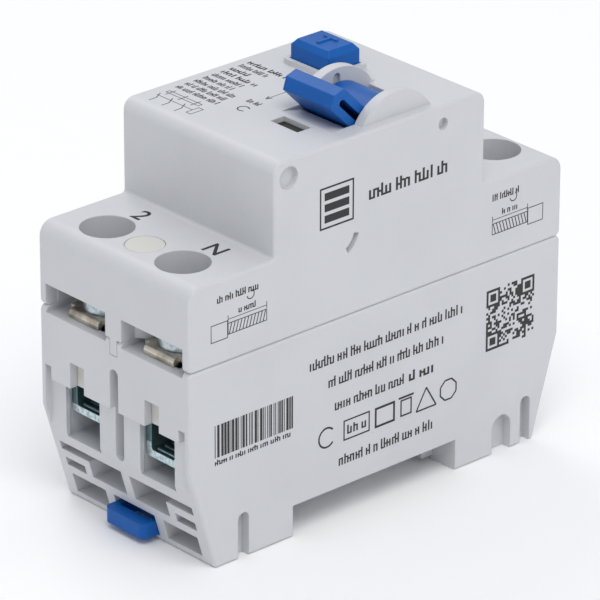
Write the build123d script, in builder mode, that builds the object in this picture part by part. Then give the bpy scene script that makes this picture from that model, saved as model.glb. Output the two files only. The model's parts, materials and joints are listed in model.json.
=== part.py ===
from build123d import *
import math
import os

# Two-pole residual current device for a 35 mm rail, as separate pieces, in millimetres.
# +X runs along the body from the load terminals to the line terminals, +Z points out of
# the front, and the rail side lies at Z = 0.  The origin is the centre of the rail side.

os.makedirs("parts", exist_ok=True)

# ---------------------------------------------------------------- overall sizes
body_length = 80.2
body_width = 36.0
parting_height = 35.2
shoulder_height = 49.4
nose_height = 65.5
nose_length = 45.0
wall = 1.6
side_wall = 1.6
edge_round = 0.5

half_length = body_length / 2
half_width = body_width / 2
half_nose = nose_length / 2

# ---------------------------------------------------------------- clearances
running_gap = 0.04
slide_gap = 0.15
loose_gap = 0.3
seat_gap = 0.05

# ---------------------------------------------------------------- rail side
kink_height = 17.7
foot_inset = 5.3
rail_left = -18.5
rail_width = 35.6
rail_depth = 5.5
floor_thickness = 1.6
flange_space = 1.2
hook_reach = 2.4
hook_bottom = 0.8
hook_half_width = 12.6
latch_half_width = 4.8
latch_low = 1.1
latch_high = 3.7
latch_mouth = 4.2
latch_grip = 2.5

rail_right = rail_left + rail_width
hook_top = rail_depth - flange_space
foot_end = half_length - foot_inset
cavity_floor = rail_depth + floor_thickness
latch_channel = latch_half_width + slide_gap

# ---------------------------------------------------------------- terminals
pole_offset = 9.05
screw_inset = 6.7
end_wall = 2.0
apron_wall = 1.45
recess_depth = 1.1
recess_low = 14.0
recess_high = 22.75
deck_height = 34.2
window_top = 39.15
window_inner = 1.9
window_outer = 16.5
wire_window_width = 8.3
wire_window_low = 13.1
guard_slot_width = 3.4
guard_slot_top = 27.35
guard_thickness = 0.55
groove_width = 2.0
groove_low = 13.6
groove_high = 29.9
groove_depth = 3.0
relief_half_width = 3.4
corner_notch_near = 15.4
corner_notch_far = 16.9
corner_notch_rise = 2.25
cover_tongue_half = 0.9
cover_tongue_drop = 2.9
cover_tongue_depth = 2.2
# core-outs in each slanted end, for one pole: near Y, far Y, bottom, top
end_core_outs = ((9.3, 16.1, 9.5, 11.05), (1.0, 9.4, 6.5, 11.05), (11.0, 15.8, 6.4, 7.95),
                 (7.0, 15.3, 1.3, 4.9))
# round-topped grooves down the sides of the feet: left, right, top
foot_grooves = ((-30.1, -27.8, 7.9), (25.4, 29.6, 6.6), (31.8, 34.0, 8.3))
foot_groove_depth = 1.8
foot_core_inset = 1.6
load_foot_core = 4.9
line_foot_core = 6.0
foot_core_near = 6.6
foot_core_far = 14.6
foot_core_top = 4.0
strip_pad_left = 2.0
strip_pad_right = 18.0
strip_pad_half = 1.5

cage_width = 8.1
cage_depth = 9.8
cage_sheet = 1.25
cage_height = 12.6
cage_top_wall = 2.5
cage_bottom = 16.3
ridge_radius = 0.3
ridge_pitch = 1.5
cage_lift = 1.2
cage_travel = 5.0
clamp_gap = 0.15

plate_sheet = 1.0
plate_top = 35.75
plate_width = 9.4
lip_width = 7.1
tongue_sheet = 1.5
tongue_width = 5.2
tail_reach = 6.0

screw_radius = 2.45
screw_head_radius = 4.05
screw_head_height = 2.8
screw_end = 25.2
driver_hole_radius = 4.45
driver_tube_wall = 1.0

tongue_bottom = cage_bottom + cage_sheet + ridge_radius + cage_travel + clamp_gap
screw_x = half_length - screw_inset
cage_outer_x = half_length - end_wall - loose_gap
cage_inner_x = cage_outer_x - cage_depth
shaft_inner_x = cage_inner_x - 0.9
divider = 1.8
cavity_half = shaft_inner_x - divider
leg_outer_x = cage_inner_x - 0.1
leg_inner_x = shaft_inner_x

# ---------------------------------------------------------------- case screws and plugs
plug_radius = 3.25
plug_thickness = 1.6
case_screw_radius = 1.5
case_head_radius = 2.8
case_head_height = 1.8
case_seat = 43.0
case_screw_end = 24.0
case_boss_radius = 4.3

# ---------------------------------------------------------------- toggle
toggle_x = 4.75
toggle_drop = 4.45
toggle_z = nose_height - toggle_drop
toggle_centre_y = -8.625
cheek_radius = 8.55
cheek_thickness = 1.85
cheek_opening = 11.65
drum_radius = 6.25
handle_width = 3.95
handle_offset = -0.775
handle_tip = 15.3
handle_shoulder = 14.3
handle_rest_angle = 135.0
handle_slot_width = 1.25
handle_slot_end = 13.45
handle_slot_depth = 8.5
toggle_swing = 86.0
toggle_pin_radius = 1.5
crank_radius = 4.6
link_pin_radius = 0.75
toggle_spring_wire = 0.5
spring_pin_gap = 0.6
link_thickness = 2.2
link_width = 2.4
link_eye_radius = 1.9
link_nose_z = 39.6

opening_left = -3.4
opening_right = 11.4
ramp_left = -7.4
ramp_right = 12.9
ramp_drop = 0.7

toggle_spring_radius = crank_radius - link_pin_radius - spring_pin_gap - toggle_spring_wire / 2
crank_half_swing = toggle_swing / 2
crank_x = toggle_x + crank_radius * math.sin(math.radians(crank_half_swing))
crank_z = toggle_z - crank_radius * math.cos(math.radians(crank_half_swing))
carrier_travel = 2 * (crank_x - toggle_x)
cheek_near_y = toggle_centre_y - cheek_opening / 2
cheek_far_y = toggle_centre_y + cheek_opening / 2
drum_half_length = cheek_opening / 2 - 0.25

# ---------------------------------------------------------------- test button
button_x = 10.55
button_y = 6.67
button_length = 6.9
button_breadth = 9.0
button_rise = 4.3
button_top = nose_height + button_rise
button_chamfer_in = 0.8
button_chamfer_down = 1.0
button_edge_round = 0.25
button_flange = 0.8
button_flange_height = 1.2
button_travel = 2.2
stem_radius = 1.6
stem_bottom = 56.9
collar_height = 0.95
collar_wall = 0.75
letter_height = 0.25
letter_stroke = 0.55

# ---------------------------------------------------------------- indicator
window_x = -9.85
window_y = -7.75
window_length = 2.9
window_breadth = 6.3
window_depth = 0.92
flag_zone = 3.0
flag_travel = 3.2
flag_thickness = 0.9

# ---------------------------------------------------------------- inner works
frame_bottom = 33.5
frame_sheet = 2.0
frame_left = -23.4
frame_right = 17.0
ledge_width = 1.0
carrier_left = 3.9
carrier_length = 8.0
carrier_height = 6.3
carrier_half_width = 14.0
finger_sheet = 1.2
finger_width = 6.0
finger_bottom = 22.0
contact_radius = 2.0
contact_thickness = 0.8
contact_z = 24.5
strip_sheet = 1.2
strip_bottom = 13.8
strip_top = 28.0
lever_x = -5.05
trip_pivot_z = 49.0
latch_pivot_z = 44.6
lever_pin_radius = 0.9
lever_y = 8.6
lever_span = 8.8
trip_foot = 2.2
latch_clearance = 0.25
plunger_z = 53.0
plunger_radius = 1.0
relay_left = -20.0
relay_right = -8.0
relay_bottom = 38.0
relay_top = 57.0
relay_near_y = 3.4
relay_far_y = 15.4
relay_wall = 1.0
relay_coil_z = 46.0
core_x = -13.0
core_z = 21.0
core_inner = 7.6
core_outer = 11.0
core_length = 6.4
core_case_wall = 0.6
winding_outer = 12.3
winding_inner = 6.3
wire_radius = 1.4
wire_spread = 2.6
braid_radius = 1.1
board_y = 14.2
board_sheet = 1.0
chip_left = -5.2
chip_length = 4.0
chip_height = 1.8

frame_top = frame_bottom + frame_sheet
carrier_bottom = frame_top + 0.2
carrier_top = carrier_bottom + carrier_height
carrier_right = carrier_left + carrier_length
finger_left = crank_x - 1.39
finger_right = finger_left + finger_sheet
moving_contact_face = finger_left - contact_thickness
fixed_contact_face = moving_contact_face - carrier_travel - seat_gap
strip_right = fixed_contact_face - contact_thickness
strip_left = strip_right - strip_sheet


def block(x0, x1, y0, y1, z0, z1, mode=Mode.ADD):
    """A box between two corners, added to or cut from the part being built."""
    with Locations(((x0 + x1) / 2, (y0 + y1) / 2, (z0 + z1) / 2)):
        Box(abs(x1 - x0), abs(y1 - y0), abs(z1 - z0), mode=mode)


def rod(x, y, z, radius, height, rotation=(0, 0, 0), mode=Mode.ADD):
    """A cylinder centred on a point."""
    with Locations((x, y, z)):
        Cylinder(radius, height, rotation=rotation, mode=mode)


along_y = (90, 0, 0)
along_x = (0, 90, 0)

terminals = {
    "load_phase": (-1, 1, cage_lift),
    "load_neutral": (-1, -1, 0.0),
    "line_phase": (1, 1, 0.0),
    "line_neutral": (1, -1, 0.0),
}

# ================================================================ base housing
with BuildPart() as base:
    with BuildSketch(Plane.XZ):
        with BuildLine():
            Polyline(
                (-foot_end, 0), (rail_left, 0), (rail_left, rail_depth), (rail_right, rail_depth),
                (rail_right, 0), (foot_end, 0), (half_length, kink_height),
                (half_length, parting_height), (-half_length, parting_height),
                (-half_length, kink_height), close=True,
            )
        make_face()
    extrude(amount=half_width, both=True)

    top_ends = base.edges().filter_by(Axis.Y).group_by(Axis.Z)[-1]
    fillet(top_ends, 1.0)
    toes = base.edges().filter_by(Axis.Y).group_by(Axis.Z)[0]
    fillet(toes.sort_by(Axis.X)[0], 0.6)
    toes = base.edges().filter_by(Axis.Y).group_by(Axis.Z)[0]
    fillet(toes.sort_by(Axis.X)[-1], 0.6)
    rims = base.faces().filter_by(Axis.Y).edges()
    end_rims = rims.filter_by(lambda e: abs(e.center().X) > foot_end - 0.5 and e.center().Z > 1.5)
    fillet(end_rims.filter_by(lambda e: e.length > 5), edge_round)

    # middle cavity with two ledges that carry the mechanism frame
    cavity_y = half_width - side_wall
    block(-cavity_half, cavity_half, -cavity_y, cavity_y, cavity_floor, parting_height + 1,
          mode=Mode.SUBTRACT)
    for side in (-1, 1):
        block(frame_left, frame_right, side * (cavity_y - ledge_width), side * cavity_y,
              frame_bottom - 2, frame_bottom)

    # terminal chambers, windows and end-face relief, the same at both ends
    for end in (-1, 1):
        face = end * half_length
        for pole in (-1, 1):
            mid = pole * pole_offset
            block(face + end, end * (cavity_half + divider), pole * window_inner,
                  pole * (half_width - side_wall), deck_height, parting_height + 1, mode=Mode.SUBTRACT)
            block(end * (half_length - end_wall), end * shaft_inner_x, mid - cage_width / 2 - loose_gap,
                  mid + cage_width / 2 + loose_gap, wire_window_low, deck_height + 1, mode=Mode.SUBTRACT)
            block(end * (half_length - apron_wall), end * (half_length - end_wall - 0.1), mid - relief_half_width,
                  mid + relief_half_width, recess_high, deck_height - 1, mode=Mode.SUBTRACT)
            block(face + end, end * (half_length - end_wall - 0.1), mid - wire_window_width / 2,
                  mid + wire_window_width / 2, wire_window_low, recess_high, mode=Mode.SUBTRACT)
            block(face + end, end * (half_length - end_wall - 0.1), mid - guard_slot_width / 2,
                  mid + guard_slot_width / 2, recess_high - 1, guard_slot_top, mode=Mode.SUBTRACT)
            # tongue slot through the dividing wall
            block(end * (shaft_inner_x + 0.1), end * (cavity_half - 0.1),
                  mid - tongue_width / 2 - slide_gap, mid + tongue_width / 2 + slide_gap, tongue_bottom,
                  tongue_bottom + tongue_sheet + slide_gap, mode=Mode.SUBTRACT)
            block(face + end, end * (half_length - recess_depth), pole * corner_notch_near,
                  pole * corner_notch_far, recess_high - 1, recess_high + corner_notch_rise, mode=Mode.SUBTRACT)
        block(face + end, end * (half_length - recess_depth), -corner_notch_far, corner_notch_far, recess_low,
              recess_high, mode=Mode.SUBTRACT)
        # creepage groove between the poles, with round ends
        with BuildSketch(Plane.YZ.offset(end * (half_length - groove_depth))):
            with Locations((0, (groove_low + groove_high) / 2)):
                SlotOverall(groove_high - groove_low, groove_width, rotation=90)
        extrude(amount=end * (groove_depth + 1), mode=Mode.SUBTRACT)
        # notch for the cover's tongue
        block(face + end, end * (half_length - cover_tongue_depth), -cover_tongue_half, cover_tongue_half,
              parting_height - cover_tongue_drop, parting_height + 1, mode=Mode.SUBTRACT)
        # pilot hole for the case screw
        rod(end * screw_x, 0, (case_screw_end - 1 + parting_height) / 2, case_screw_radius + running_gap,
            parting_height - case_screw_end + 1, mode=Mode.SUBTRACT)
        # core-outs in the slanted ends
        for pole in (-1, 1):
            for y0, y1, z0, z1 in end_core_outs:
                block(face, end * (foot_end - latch_mouth), pole * y0, pole * y1, z0, z1, mode=Mode.SUBTRACT)

    # fixed rail hook
    block(rail_right - hook_reach, rail_right + 0.5, -hook_half_width, hook_half_width, hook_bottom,
          hook_top)

    # latch channel: open at the slanted end and at the rail, with a lip along each side below
    block(-half_length, rail_left + 1, -latch_channel, latch_channel, latch_low - slide_gap,
          latch_high + slide_gap, mode=Mode.SUBTRACT)
    block(-half_length, -foot_end + latch_mouth, -latch_channel, latch_channel, 0.95, 4.9,
          mode=Mode.SUBTRACT)
    block(-half_length, rail_left + 1, -3.9, 3.9, -1, 1.0, mode=Mode.SUBTRACT)

    # round-topped grooves down the sides of the feet
    for side in (-1, 1):
        for left, right, top in foot_grooves:
            radius = (right - left) / 2
            with BuildSketch(Plane.XZ.offset(-side * (half_width - foot_groove_depth))):
                with Locations(((left + right) / 2, (top - 4) / 2)):
                    SlotOverall(top + 4, right - left, rotation=90)
            extrude(amount=-side * 2.5, mode=Mode.SUBTRACT)

    # moulding core-outs under the feet
    for x0, x1 in ((rail_left - foot_core_inset - load_foot_core, rail_left - foot_core_inset),
                   (rail_right + foot_core_inset, rail_right + foot_core_inset + line_foot_core)):
        for pole in (-1, 1):
            block(x0, x1, pole * foot_core_near, pole * foot_core_far, -1, foot_core_top, mode=Mode.SUBTRACT)

    # supports inside: saddle under the current transformer, pads under the line strips
    block(core_x - 2.5, core_x + 2.5, -5, 5, cavity_floor - 0.5, core_z - winding_outer + 0.6)
    rod(core_x, 0, core_z, winding_outer + seat_gap, 20, rotation=along_x, mode=Mode.SUBTRACT)
    for pole in (-1, 1):
        block(strip_pad_left, strip_pad_right, pole * (pole_offset - strip_pad_half),
              pole * (pole_offset + strip_pad_half), cavity_floor - 0.5, strip_bottom)
base.part.label = "base_housing"
export_step(base.part, "parts/base_housing.step")

# ================================================================ cover housing
with BuildPart() as cover:
    with BuildSketch(Plane.XZ):
        with BuildLine():
            Polyline((-half_length, parting_height), (half_length, parting_height),
                     (half_length, shoulder_height), (half_nose, shoulder_height),
                     (half_nose, nose_height), (-half_nose, nose_height), (-half_nose, shoulder_height),
                     (-half_length, shoulder_height), close=True)
        make_face()
    extrude(amount=half_width, both=True)

    across = cover.edges().filter_by(Axis.Y)
    fillet(across.group_by(Axis.Z)[-1], 2.0)
    across = cover.edges().filter_by(Axis.Y)
    shoulder_ends = across.filter_by(
        lambda e: abs(e.center().X) > half_length - 0.1 and e.center().Z > shoulder_height - 0.1)
    fillet(shoulder_ends, 2.5)
    across = cover.edges().filter_by(Axis.Y)
    fillet(across.group_by(Axis.Z)[0], 1.0)
    nose_feet = cover.edges().filter_by(Axis.Y).filter_by(
        lambda e: abs(abs(e.center().X) - half_nose) < 0.01 and abs(e.center().Z - shoulder_height) < 0.01)
    fillet(nose_feet, 0.6)
    side_rims = cover.faces().filter_by(Axis.Y).edges().filter_by(lambda e: e.center().Z > parting_height + 1)
    fillet(side_rims, edge_round)

    # inside of the shell
    inner_y = half_width - side_wall
    block(-half_length + end_wall, half_length - end_wall, -inner_y, inner_y, parting_height - 1,
          shoulder_height - wall, mode=Mode.SUBTRACT)
    block(-half_nose + wall, half_nose - wall, -inner_y, inner_y, parting_height - 1, nose_height - wall,
          mode=Mode.SUBTRACT)

    for end in (-1, 1):
        # barrier between the poles, with the screw boss and the tongue that enters the base
        block(end * half_length, end * (half_length - end_wall - 1), -window_inner, window_inner,
              parting_height, window_top + 1)
        block(end * (half_length - end_wall + 0.5), end * (cavity_half + divider), -window_inner,
              window_inner, parting_height, shoulder_height - 0.5)
        rod(end * screw_x, 0, (parting_height + shoulder_height - 1) / 2, case_boss_radius,
            shoulder_height - 1 - parting_height)
        block(end * half_length, end * (half_length - 2), -0.8, 0.8, parting_height - 2.8,
              parting_height + 1)
        # wall between the terminal space and the works
        block(end * (cavity_half + divider), end * cavity_half, -inner_y - 0.2, inner_y + 0.2,
              parting_height, shoulder_height - 0.5)
        for pole in (-1, 1):
            mid = pole * pole_offset
            rod(end * screw_x, mid, (shoulder_height - 1 + window_top) / 2,
                driver_hole_radius + driver_tube_wall, shoulder_height - 1 - window_top)
            block(end * (half_length + 1), end * (half_length - end_wall - 0.5), pole * window_inner,
                  pole * window_outer, parting_height - 1, window_top, mode=Mode.SUBTRACT)
            rod(end * screw_x, mid, shoulder_height - 5, driver_hole_radius, 14, mode=Mode.SUBTRACT)
        # case screw: plug seat, head pocket, shank hole
        rod(end * screw_x, 0, shoulder_height, plug_radius + seat_gap, 2 * plug_thickness + 0.2,
            mode=Mode.SUBTRACT)
        rod(end * screw_x, 0, (case_seat + shoulder_height) / 2, case_head_radius + slide_gap,
            shoulder_height - case_seat, mode=Mode.SUBTRACT)
        rod(end * screw_x, 0, (parting_height + case_seat) / 2 - 1, case_screw_radius + slide_gap,
            case_seat - parting_height + 4, mode=Mode.SUBTRACT)

    # toggle cheeks: half discs above the nose that run down inside to carry the pin
    for inner_face, outward in ((cheek_near_y, -1), (cheek_far_y, 1)):
        outer_face = inner_face + outward * cheek_thickness
        rod(toggle_x, (inner_face + outer_face) / 2, toggle_z, cheek_radius, cheek_thickness,
            rotation=along_y)
    # opening for the toggle, with a shallow ramp before and behind it
    block(opening_left, opening_right, cheek_near_y, cheek_far_y, nose_height - 4, nose_height + 1,
          mode=Mode.SUBTRACT)
    with BuildSketch(Plane.XZ.offset(-toggle_centre_y)):
        with BuildLine():
            Polyline((ramp_left, nose_height), (opening_left + 0.5, nose_height - ramp_drop * 1.125),
                     (opening_left + 0.5, nose_height + 1), (ramp_left, nose_height + 1), close=True)
        make_face()
        with BuildLine():
            Polyline((ramp_right, nose_height), (opening_right - 0.5, nose_height - ramp_drop),
                     (opening_right - 0.5, nose_height + 1), (ramp_right, nose_height + 1), close=True)
        make_face()
    extrude(amount=cheek_opening / 2, both=True, mode=Mode.SUBTRACT)
    # bearing holes, and the guide grooves the pin slides up during assembly
    rod(toggle_x, toggle_centre_y, toggle_z, toggle_pin_radius + running_gap, cheek_opening + 2 * 1.5,
        rotation=along_y, mode=Mode.SUBTRACT)
    with BuildSketch(Plane.XZ.offset(-toggle_centre_y)):
        with Locations((toggle_x - 0.35, toggle_z + 2.6)):
            SlotOverall(10.1, 1.5, rotation=90)
    extrude(amount=cheek_opening / 2 + 0.6, both=True, mode=Mode.SUBTRACT)

    # collar and hole of the test button
    collar_x = button_length / 2 + slide_gap + collar_wall
    collar_y = button_breadth / 2 + slide_gap + collar_wall
    with BuildSketch(Plane.XY.offset(nose_height - 0.5)):
        with Locations((button_x, button_y)):
            RectangleRounded(2 * collar_x, 2 * collar_y, 0.6)
    extrude(amount=collar_height + 0.5)
    block(button_x - button_length / 2 - slide_gap, button_x + button_length / 2 + slide_gap,
          button_y - button_breadth / 2 - slide_gap, button_y + button_breadth / 2 + slide_gap,
          nose_height - wall - 1, nose_height + collar_height + 1, mode=Mode.SUBTRACT)

    # indicator window, and the track above the flag that thins the wall behind it
    block(window_x - window_length / 2, window_x + window_length / 2, window_y - window_breadth / 2,
          window_y + window_breadth / 2, nose_height - wall - 1, nose_height + 1, mode=Mode.SUBTRACT)
    block(window_x - window_length / 2 - flag_travel - 0.5, window_x + window_length / 2 + flag_zone + 0.5,
          window_y - window_breadth / 2 - 0.9, window_y + window_breadth / 2 + 0.9, nose_height - wall - 0.5,
          nose_height - window_depth, mode=Mode.SUBTRACT)

    # marks in the side walls: round recess, small hole and a curved slot
    for side in (-1, 1):
        rod(-19.5, side * half_width, 62.4, 1.9, 1.9, rotation=along_y, mode=Mode.SUBTRACT)
        rod(13.3, side * half_width, 62.3, 1.0, 1.8, rotation=along_y, mode=Mode.SUBTRACT)
        with BuildSketch(Plane.XZ.offset(-side * (half_width - 0.9))):
            with BuildLine():
                ThreePointArc((-5.2, 49.0), (-5.95, 47.5), (-7.2, 46.4))
            trace(line_width=1.1)
        extrude(amount=-side * 2, mode=Mode.SUBTRACT)
cover.part.label = "cover_housing"
export_step(cover.part, "parts/cover_housing.step")

# ================================================================ case screws and plugs
with BuildPart() as case_screws:
    for end in (-1, 1):
        x = end * screw_x
        rod(x, 0, (case_screw_end + case_seat) / 2, case_screw_radius, case_seat - case_screw_end)
        rod(x, 0, case_seat + case_head_height / 2, case_head_radius, case_head_height)
        block(x - 1.6, x + 1.6, -0.4, 0.4, case_seat + 0.8, case_seat + 3, mode=Mode.SUBTRACT)
        block(x - 0.4, x + 0.4, -1.6, 1.6, case_seat + 0.8, case_seat + 3, mode=Mode.SUBTRACT)
case_screws.part.label = "case_screws"
export_step(case_screws.part, "parts/case_screws.step")

with BuildPart() as plugs:
    for end in (-1, 1):
        rod(end * screw_x, 0, shoulder_height - plug_thickness / 2, plug_radius, plug_thickness)
    chamfer(plugs.edges().group_by(Axis.Z)[-1], 0.15)
plugs.part.label = "screw_plugs"
export_step(plugs.part, "parts/screw_plugs.step")

# ================================================================ terminals
for name, (end, pole, lift) in terminals.items():
    x = end * screw_x
    y = pole * pole_offset

    with BuildPart() as screw:
        rod(x, y, (screw_end + plate_top + seat_gap) / 2, screw_radius, plate_top + seat_gap - screw_end)
        chamfer(screw.edges().group_by(Axis.Z)[0], 0.5)
        rod(x, y, plate_top + seat_gap + screw_head_height / 2, screw_head_radius, screw_head_height)
        fillet(screw.edges().group_by(Axis.Z)[-1], 0.5)
        head_top = plate_top + seat_gap + screw_head_height
        block(x - 2.9, x + 2.9, y - 0.55, y + 0.55, head_top - 1.7, head_top + 1, mode=Mode.SUBTRACT)
        block(x - 0.55, x + 0.55, y - 2.3, y + 2.3, head_top - 1.7, head_top + 1, mode=Mode.SUBTRACT)
    screw.part.label = f"terminal_screw_{name}"
    export_step(screw.part, f"parts/terminal_screw_{name}.step")

    low = cage_bottom + lift
    with BuildPart() as cage:
        with BuildSketch(Plane.YZ.offset(end * cage_inner_x)):
            with Locations((y, low + cage_height / 2)):
                RectangleRounded(cage_width, cage_height, 0.9)
            with Locations((y, low + (cage_sheet + cage_height - cage_top_wall) / 2)):
                RectangleRounded(cage_width - 2 * cage_sheet, cage_height - cage_sheet - cage_top_wall, 0.5,
                                 mode=Mode.SUBTRACT)
        extrude(amount=end * cage_depth)
        # clearance for the screw's thread, whose form is left out
        # clearance for the screw down to the lowest place that its end reaches in the cage
        hole_end = screw_end - cage_travel + lift - seat_gap
        rod(x, y, (low + cage_height + 1 + hole_end) / 2, screw_radius + seat_gap,
            low + cage_height + 1 - hole_end, mode=Mode.SUBTRACT)
        # grip ridges across the floor of the cage
        for step in range(6):
            ridge_x = end * (cage_inner_x + 1.2 + ridge_pitch * step)
            with Locations((ridge_x, y, low + cage_sheet)):
                Cylinder(ridge_radius, cage_width - 2 * cage_sheet - 1.0, rotation=along_y)
    cage.part.label = f"terminal_cage_{name}"
    export_step(cage.part, f"parts/terminal_cage_{name}.step")

    # folded contact strip: busbar plate on top, leg at the back, tongue inside the cage, tail inwards
    with BuildPart() as strip:
        plate_bottom = plate_top - plate_sheet
        block(end * (half_length - apron_wall - 0.5), end * leg_inner_x, y - lip_width / 2,
              y + lip_width / 2, plate_bottom, plate_top)
        block(end * (half_length - apron_wall - 1.4), end * leg_inner_x, y - plate_width / 2,
              y + plate_width / 2, plate_bottom, plate_top)
        block(end * (half_length - apron_wall - 0.05), end * (half_length - apron_wall - 1.05),
              y - lip_width / 2, y + lip_width / 2, deck_height + 0.1, plate_top)
        bend = strip.edges().filter_by(Axis.Y).filter_by(
            lambda e: abs(e.center().X) > half_length - apron_wall - 0.1 and e.center().Z > plate_top - 0.1)
        fillet(bend, 0.9)
        block(end * leg_outer_x, end * leg_inner_x, y - tongue_width / 2, y + tongue_width / 2,
              tongue_bottom, plate_bottom + 0.1)
        block(end * (cage_outer_x - 0.7), end * (cavity_half - tail_reach), y - tongue_width / 2,
              y + tongue_width / 2, tongue_bottom, tongue_bottom + tongue_sheet)
        rod(x, y, plate_top, screw_radius + loose_gap, 3 * plate_sheet, mode=Mode.SUBTRACT)
    strip.part.label = f"terminal_strip_{name}"
    export_step(strip.part, f"parts/terminal_strip_{name}.step")

    with BuildPart() as guard:
        near = half_length - apron_wall - 0.05
        block(end * near, end * (near - guard_thickness), y - 3.3, y + 3.3, recess_high + 0.1,
              deck_height - 1.2)
        fillet(guard.edges().filter_by(Axis.X), 0.4)
    guard.part.label = f"terminal_guard_{name}"
    export_step(guard.part, f"parts/terminal_guard_{name}.step")

# ================================================================ rail latch
latch_front = half_length - 1.6
latch_pocket_left = rail_left - 12.0
latch_pocket_right = rail_left - 2.5
latch_tip = -rail_left - latch_grip
with BuildPart() as rail_latch:
    block(-latch_front, -latch_tip, -latch_half_width, latch_half_width, latch_low, latch_high)
    corners = rail_latch.edges().filter_by(Axis.Z).group_by(Axis.X)[0]
    fillet(corners, 1.2)
    # sloped nose that rides over the rail flange
    with BuildSketch(Plane.XZ):
        with BuildLine():
            Polyline((rail_left + 0.4, latch_high), (-latch_tip, latch_high), (-latch_tip, latch_high - 0.7),
                     close=True)
        make_face()
    extrude(amount=5, both=True, mode=Mode.SUBTRACT)
    # slot for a screwdriver tip and the pocket of the return spring
    block(-latch_front + 2.3, -latch_front + 6.1, -3.7, 3.7, 0, 5, mode=Mode.SUBTRACT)
    block(latch_pocket_left, latch_pocket_right, -2.6, 2.6, 0, 5, mode=Mode.SUBTRACT)
rail_latch.part.label = "rail_latch"
export_step(rail_latch.part, "parts/rail_latch.step")


def coil_spring(start, axis_direction, length, radius, wire, turns):
    """A round-wire compression spring as one swept solid."""
    pitch = length / turns
    path = Helix(pitch, length, radius, center=start, direction=axis_direction)
    section_plane = Plane(origin=path @ 0, z_dir=path % 0)
    with BuildPart() as spring:
        with BuildLine():
            add(path)
        with BuildSketch(section_plane):
            Circle(wire / 2)
        sweep(is_frenet=True)
    return spring.part


latch_spring = coil_spring((latch_pocket_left + 0.5, 0, (latch_low + latch_high) / 2 - 0.05), (1, 0, 0),
                           latch_pocket_right - latch_pocket_left - 0.9, 0.95, 0.4, 7)
latch_spring.label = "rail_latch_spring"
export_step(latch_spring, "parts/rail_latch_spring.step")

# ================================================================ toggle
handle_angle = math.radians(handle_rest_angle)


def handle_point(along, across):
    """A point given along the handle and across it, in the toggle's XZ plane."""
    return (
        toggle_x + along * math.cos(handle_angle) + across * math.sin(handle_angle),
        toggle_z + along * math.sin(handle_angle) - across * math.cos(handle_angle),
    )


handle_low = handle_offset - handle_width / 2
handle_high = handle_offset + handle_width / 2
with BuildPart() as toggle:
    rod(toggle_x, toggle_centre_y, toggle_z, drum_radius, 2 * drum_half_length, rotation=along_y)
    with BuildSketch(Plane.XZ.offset(-toggle_centre_y)):
        with BuildLine():
            Polyline(handle_point(0, handle_low), handle_point(handle_shoulder, handle_low),
                     handle_point(handle_tip, handle_offset), handle_point(handle_shoulder, handle_high),
                     handle_point(0, handle_high), close=True)
        make_face()
    extrude(amount=drum_half_length, both=True)
    tip_edges = toggle.edges().filter_by(Axis.Y).filter_by(
        lambda e: math.hypot(e.center().X - toggle_x, e.center().Z - toggle_z) > handle_shoulder - 0.2)
    fillet(tip_edges, 0.25)
    # core-out slot in the near end
    with BuildSketch(Plane.XZ.offset(-(toggle_centre_y - drum_half_length) + 0.5)):
        with BuildLine():
            Line(handle_point(3.2, handle_offset),
                 handle_point(handle_slot_end - handle_slot_width / 2, handle_offset))
        trace(line_width=handle_slot_width)
        with Locations(handle_point(handle_slot_end - handle_slot_width / 2, handle_offset)):
            Circle(handle_slot_width / 2)
    extrude(amount=-handle_slot_depth - 0.5, mode=Mode.SUBTRACT)
    # pin bore
    rod(toggle_x, toggle_centre_y, toggle_z, toggle_pin_radius + running_gap, 3 * drum_half_length,
        rotation=along_y, mode=Mode.SUBTRACT)
    # pocket for the link on the crank side, and the hole of the link pin
    crank_plane = Plane(
        origin=(toggle_x, toggle_centre_y, toggle_z), x_dir=(0, 1, 0),
        z_dir=(crank_x - toggle_x, 0, crank_z - toggle_z),
    )
    with BuildSketch(crank_plane.offset(crank_radius - 2.2)):
        Rectangle(link_thickness + 2 * loose_gap, 3 * drum_radius)
    extrude(amount=drum_radius, mode=Mode.SUBTRACT)
    rod(crank_x, toggle_centre_y, crank_z, link_pin_radius + running_gap, 9, rotation=along_y,
        mode=Mode.SUBTRACT)
    # pocket for the toggle spring around the pin, in the far end
    rod(toggle_x, toggle_centre_y + drum_half_length, toggle_z, 4.1, 6, rotation=along_y, mode=Mode.SUBTRACT)
toggle.part.label = "toggle"
export_step(toggle.part, "parts/toggle.step")

with BuildPart() as toggle_pin:
    rod(toggle_x, toggle_centre_y, toggle_z, toggle_pin_radius, cheek_opening + 2 * 1.4, rotation=along_y)
    chamfer(toggle_pin.edges().filter_by(GeomType.CIRCLE), 0.2)
toggle_pin.part.label = "toggle_pin"
export_step(toggle_pin.part, "parts/toggle_pin.step")

toggle_spring = coil_spring((toggle_x, cheek_far_y - 0.7, toggle_z), (0, -1, 0), 1.9, toggle_spring_radius,
                            toggle_spring_wire, 3)
toggle_spring.label = "toggle_spring"
export_step(toggle_spring, "parts/toggle_spring.step")

with BuildPart() as link_pin:
    rod(crank_x, toggle_centre_y, crank_z, link_pin_radius, 8.6, rotation=along_y)
link_pin.part.label = "link_pin"
export_step(link_pin.part, "parts/link_pin.step")

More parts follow.
